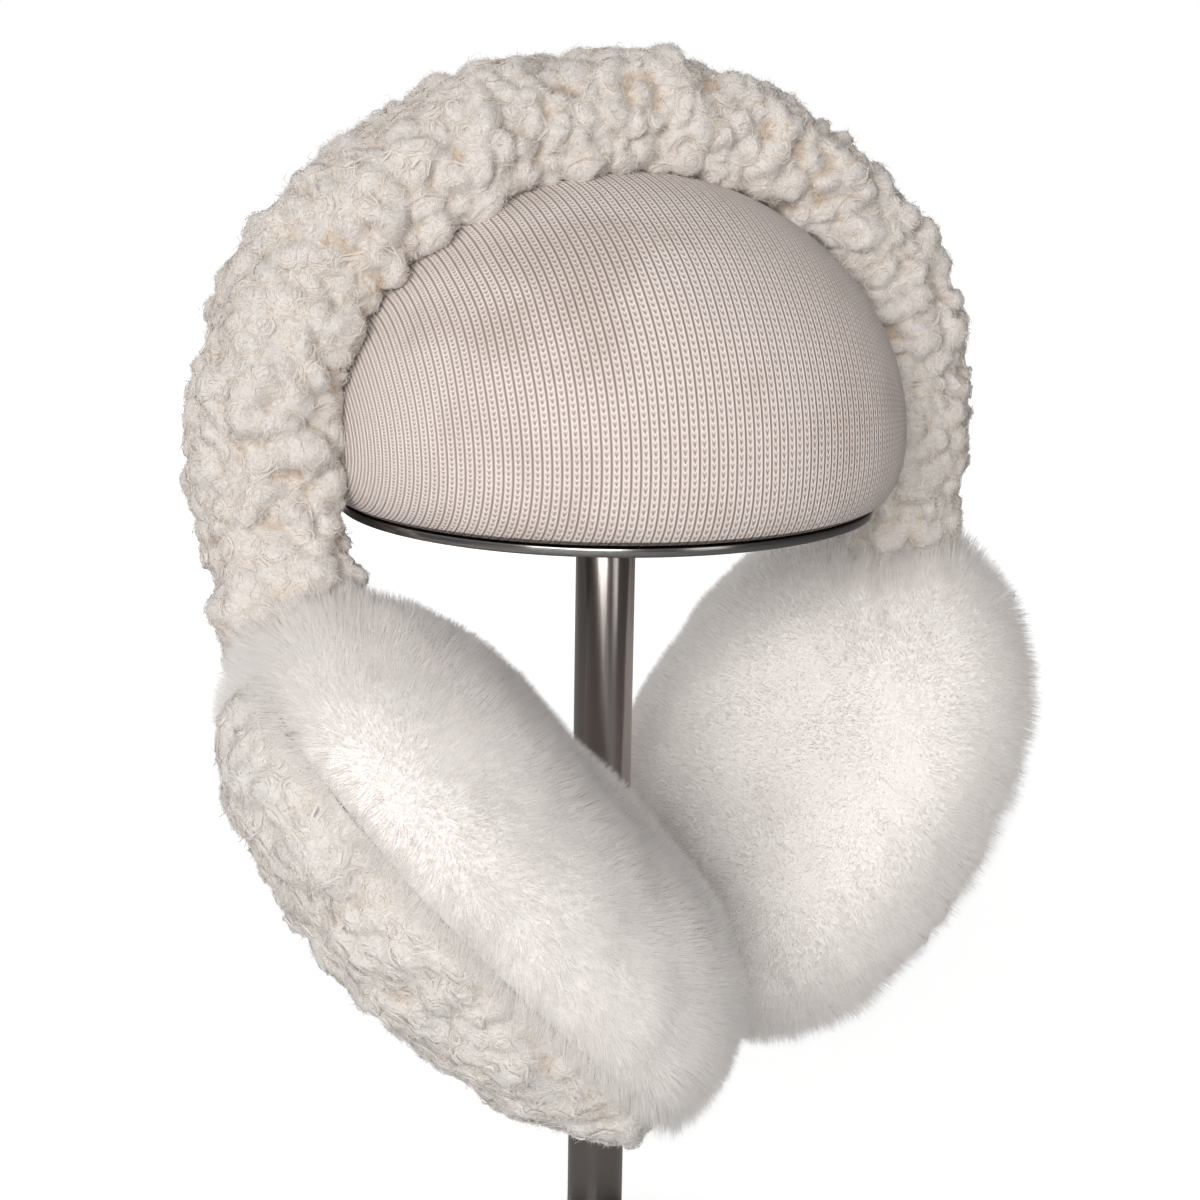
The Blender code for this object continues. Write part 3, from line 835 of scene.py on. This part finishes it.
def shell_sink(skin):
    """The shells' wool lies lower at the seam, under the flared plush."""
    return 0.0024 - 0.0011 * smoothstep(skin.from_cut(skin.points)[:, None], 0.003, 0.012)


def band_sink(skin):
    """The band's wool is not sunk."""
    return 0.0


def shell_keep(points):
    """No wool fibres where the shell carries plush."""
    return plush_end(points)[:, 0] < 0.5


# Padded dome and steel

def lathe(name, profile, steps):
    """Turned form from (radius, height) points, closed on the axis at both ends."""
    angles = np.linspace(0.0, math.tau, steps, endpoint=False)
    rings = [(r, z) for r, z in profile if r > 0]
    points = [np.stack([r * np.cos(angles), r * np.sin(angles), np.full(steps, z)], axis=1) for r, z in rings]
    points = np.concatenate(points + [np.array([[0, 0, profile[0][1]], [0, 0, profile[-1][1]]])])
    here = np.arange(steps)
    after = (here + 1) % steps
    quads = np.concatenate([np.stack([k * steps + here, (k + 1) * steps + here, (k + 1) * steps + after,
                                      k * steps + after], axis=1) for k in range(len(rings) - 1)])
    last = (len(rings) - 1) * steps
    caps = np.concatenate([np.stack([here, after, np.full(steps, len(points) - 2)], axis=1),
                           np.stack([last + after, last + here, np.full(steps, len(points) - 1)], axis=1)])
    return make_mesh(name, points, [quads, caps])


def knit_material():
    """Rib knit: wales run front to back, with a sunk line between them and a column of stitches on each."""
    material, nodes, links = new_material("rib_knit")
    shader = nodes["Principled BSDF"]
    shader.inputs["Roughness"].default_value = 0.9
    shader.inputs["Specular IOR Level"].default_value = 0.15
    shader.inputs["Sheen Weight"].default_value = 0.25
    place = nodes.new("ShaderNodeTexCoord")
    split = nodes.new("ShaderNodeSeparateXYZ")
    links.new(place.outputs["Object"], split.inputs["Vector"])

    def math_node(operation, *values):
        node = nodes.new("ShaderNodeMath")
        node.operation = operation
        for index, value in enumerate(values):
            if isinstance(value, (int, float)):
                node.inputs[index].default_value = value
            else:
                links.new(value, node.inputs[index])
        return node.outputs["Value"]
    wobble = nodes.new("ShaderNodeTexNoise")
    wobble.inputs["Scale"].default_value = 22.0
    wobble.inputs["Detail"].default_value = 1.0
    links.new(place.outputs["Object"], wobble.inputs["Vector"])
    sway = math_node("MULTIPLY", math_node("SUBTRACT", wobble.outputs["Fac"], 0.5), 0.0022)
    x = math_node("DIVIDE", math_node("ADD", split.outputs["X"], sway), WALE_RADIUS)
    wale = math_node("MULTIPLY", math_node("ARCSINE", x), WALE_RADIUS / WALE_PITCH)
    # Courses run round the X axis, so they are counted by the angle about it
    turn = math_node("ARCTAN2", math_node("SUBTRACT", split.outputs["Z"], DOME_WAIST), split.outputs["Y"])
    course = math_node("MULTIPLY", turn, DOME_RADIUS / COURSE_PITCH)
    inside = math_node("FRACT", wale)
    from_middle = math_node("ABSOLUTE", math_node("SUBTRACT", inside, 0.5))
    from_edge = math_node("SUBTRACT", 0.5, from_middle)
    groove = math_node("SMOOTH_MIN", 1.0, math_node("MULTIPLY", from_edge, 6.0), 0.3)
    vee = math_node("ADD", course, math_node("MULTIPLY", from_middle, 1.6))
    wave = math_node("SINE", math_node("MULTIPLY", vee, math.tau))
    ripple = math_node("MULTIPLY", math_node("ADD", wave, 1.0), 0.5)
    near = math_node("SUBTRACT", 1.0, math_node("MINIMUM", 1.0, math_node("MULTIPLY", from_middle, 3.6)))
    stitch = math_node("SUBTRACT", 1.0, math_node("MULTIPLY", math_node("MULTIPLY", ripple, near), 0.9))
    height = math_node("MULTIPLY", groove, stitch)
    fibre = nodes.new("ShaderNodeTexNoise")
    fibre.inputs["Scale"].default_value = 2600.0
    fibre.inputs["Detail"].default_value = 3.0
    links.new(place.outputs["Object"], fibre.inputs["Vector"])
    rough = math_node("ADD", height, math_node("MULTIPLY", fibre.outputs["Fac"], 0.25))
    mottle = nodes.new("ShaderNodeTexNoise")
    mottle.inputs["Scale"].default_value = 30.0
    mottle.inputs["Detail"].default_value = 3.0
    links.new(place.outputs["Object"], mottle.inputs["Vector"])
    # Low parts of the bump, the grooves and stitch dips, are painted dark: painted shade in the knit's
    # hollows
    ramp = nodes.new("ShaderNodeMix")
    ramp.data_type = "RGBA"
    ramp.inputs[6].default_value = (0.30, 0.245, 0.22, 1.0)
    ramp.inputs[7].default_value = (0.78, 0.685, 0.645, 1.0)
    links.new(height, ramp.inputs["Factor"])
    age = nodes.new("ShaderNodeMix")
    age.data_type = "RGBA"
    age.blend_type = "MULTIPLY"
    age.inputs[0].default_value = 0.8
    links.new(ramp.outputs[2], age.inputs[6])
    dull = nodes.new("ShaderNodeMix")
    dull.data_type = "RGBA"
    dull.inputs[7].default_value = (0.80, 0.77, 0.74, 1.0)
    stain = nodes.new("ShaderNodeMapRange")
    stain.interpolation_type = "SMOOTHSTEP"
    stain.inputs["From Min"].default_value = 0.48
    stain.inputs["From Max"].default_value = 0.70
    links.new(mottle.outputs["Fac"], stain.inputs["Value"])
    links.new(stain.outputs["Result"], dull.inputs["Factor"])
    dull.inputs[6].default_value = (1.0, 1.0, 1.0, 1.0)
    links.new(dull.outputs[2], age.inputs[7])
    # The lowest strip of the cover is painted dark brown, which shows as a dark line above the plate
    line = math_node("GREATER_THAN", split.outputs["Z"], DOME_BOTTOM + DARK_LINE_HEIGHT)
    edge = nodes.new("ShaderNodeMix")
    edge.data_type = "RGBA"
    edge.inputs[6].default_value = (0.085, 0.052, 0.038, 1.0)
    links.new(line, edge.inputs["Factor"])
    links.new(age.outputs[2], edge.inputs[7])
    links.new(edge.outputs[2], shader.inputs["Base Color"])
    bump = nodes.new("ShaderNodeBump")
    bump.inputs["Strength"].default_value = 0.9
    bump.inputs["Distance"].default_value = 0.0005
    links.new(rough, bump.inputs["Height"])
    links.new(bump.outputs["Normal"], shader.inputs["Normal"])
    return material


def knit_dome():
    """Knit-covered dome: a round top, a tucked-in lower edge and a slightly raised underside."""
    rise = DOME_TOP - DOME_WAIST
    profile = [(0.0, DOME_TOP)]
    profile += [(DOME_RADIUS * math.cos(a), DOME_WAIST + rise * math.sin(a))
                for a in np.linspace(math.radians(88), 0.0, 45)]
    profile += [(DOME_RADIUS - DOME_TUCK * (1 - math.cos(a)), DOME_WAIST - DOME_WAIST_HEIGHT * math.sin(a))
                for a in np.linspace(0.0, math.radians(86), 24)[1:]]
    radius = profile[-1][0]
    underside = DOME_BOTTOM + DOME_UNDERSIDE
    profile += [(radius - 0.0012, underside + 0.0001), (radius - 0.003, underside), (0.0, underside)]
    data = lathe("knit_dome", profile, DOME_STEPS)
    piece = add_piece("knit_dome", data, knit_material(), ("padded_dome",))


def steel_material(name, colour, roughness, ring):
    """Brushed steel. Ring brushes it round the axis, otherwise it is brushed along its length."""
    material, nodes, links = new_material(name)
    shader = nodes["Principled BSDF"]
    shader.inputs["Base Color"].default_value = (*colour, 1.0)
    shader.inputs["Metallic"].default_value = 1.0
    place = nodes.new("ShaderNodeTexCoord")
    squeeze = nodes.new("ShaderNodeMapping")
    squeeze.inputs["Scale"].default_value = (1.0, 1.0, 60.0) if ring else (60.0, 60.0, 1.0)
    grain = nodes.new("ShaderNodeTexNoise")
    grain.inputs["Scale"].default_value = 40.0
    grain.inputs["Detail"].default_value = 6.0
    links.new(place.outputs["Object"], squeeze.inputs["Vector"])
    links.new(squeeze.outputs["Vector"], grain.inputs["Vector"])
    spread = nodes.new("ShaderNodeMapRange")
    spread.inputs["To Min"].default_value = roughness * 0.7
    spread.inputs["To Max"].default_value = roughness * 1.35
    links.new(grain.outputs["Fac"], spread.inputs["Value"])
    links.new(spread.outputs["Result"], shader.inputs["Roughness"])
    bump = nodes.new("ShaderNodeBump")
    bump.inputs["Strength"].default_value = 0.25
    bump.inputs["Distance"].default_value = 0.0001
    links.new(grain.outputs["Fac"], bump.inputs["Height"])
    links.new(bump.outputs["Normal"], shader.inputs["Normal"])
    return material


def turned_disc(name, node, edge, material):
    """A plain turned disc or rod with eased edges, in the box of its CAD node."""
    low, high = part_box(node)
    radius = high[0]
    ease = [(radius - edge * (1 - math.sin(a)), edge * (1 - math.cos(a)))
            for a in np.linspace(0, math.pi / 2, 4)]
    top, bottom = high[2], low[2]
    flat = radius - edge * 3
    profile = [(0.0, top), (flat, top)] + [(r, top - z) for r, z in ease]
    profile += [(r, bottom + z) for r, z in reversed(ease)] + [(flat, bottom), (0.0, bottom)]
    data = lathe(name, profile, DISC_STEPS)
    data.set_sharp_from_angle(angle=math.radians(35))
    add_piece(name, data, material, (node,))


def main():
    place_camera()
    light_the_scene()
    lay_floor()
    steel = steel_material("brushed_steel", (0.30, 0.272, 0.255), 0.19, False)
    turned_disc("post", "stand_post", 0.0003, steel)
    rim = steel_material("brushed_steel_rim", (0.25, 0.24, 0.235), 0.16, True)
    turned_disc("plate", "stand_plate", 0.0004, rim)
    turned_disc("base", "stand_base", 0.0006, rim)
    knit_dome()
    plush_fibres = fibre_material("plush_fibres", 0.15, 0.60)
    wool_fibres = fibre_material("wool_fibres", 0.10, 0.40)
    plush_ground = wool_material("plush_ground", (0.83, 0.80, 0.78), (0.78, 0.75, 0.73))
    wool_under = clump_material("wool_clumps")
    plush("ear_cushion_left", skin_of("ear_shell_left", True), 11, plush_fibres, plush_ground)
    plush("ear_cushion_right", skin_of("ear_shell_right", True), 12, plush_fibres, plush_ground)
    shearling("headband", 21, False, band_leans, band_fade, band_sink, band_keep,
              BAND_CREAM_AND_SHADE, BAND_FIBRES, BAND_FUZZ, wool_fibres, wool_under)
    for node, seed in (("ear_shell_left", 22), ("ear_shell_right", 23)):
        shearling(node, seed, True, shell_leans, shell_fade, shell_sink, shell_keep,
                  SHELL_CREAM_AND_SHADE, SHELL_FIBRES, SHELL_FUZZ, wool_fibres, wool_under)


main()
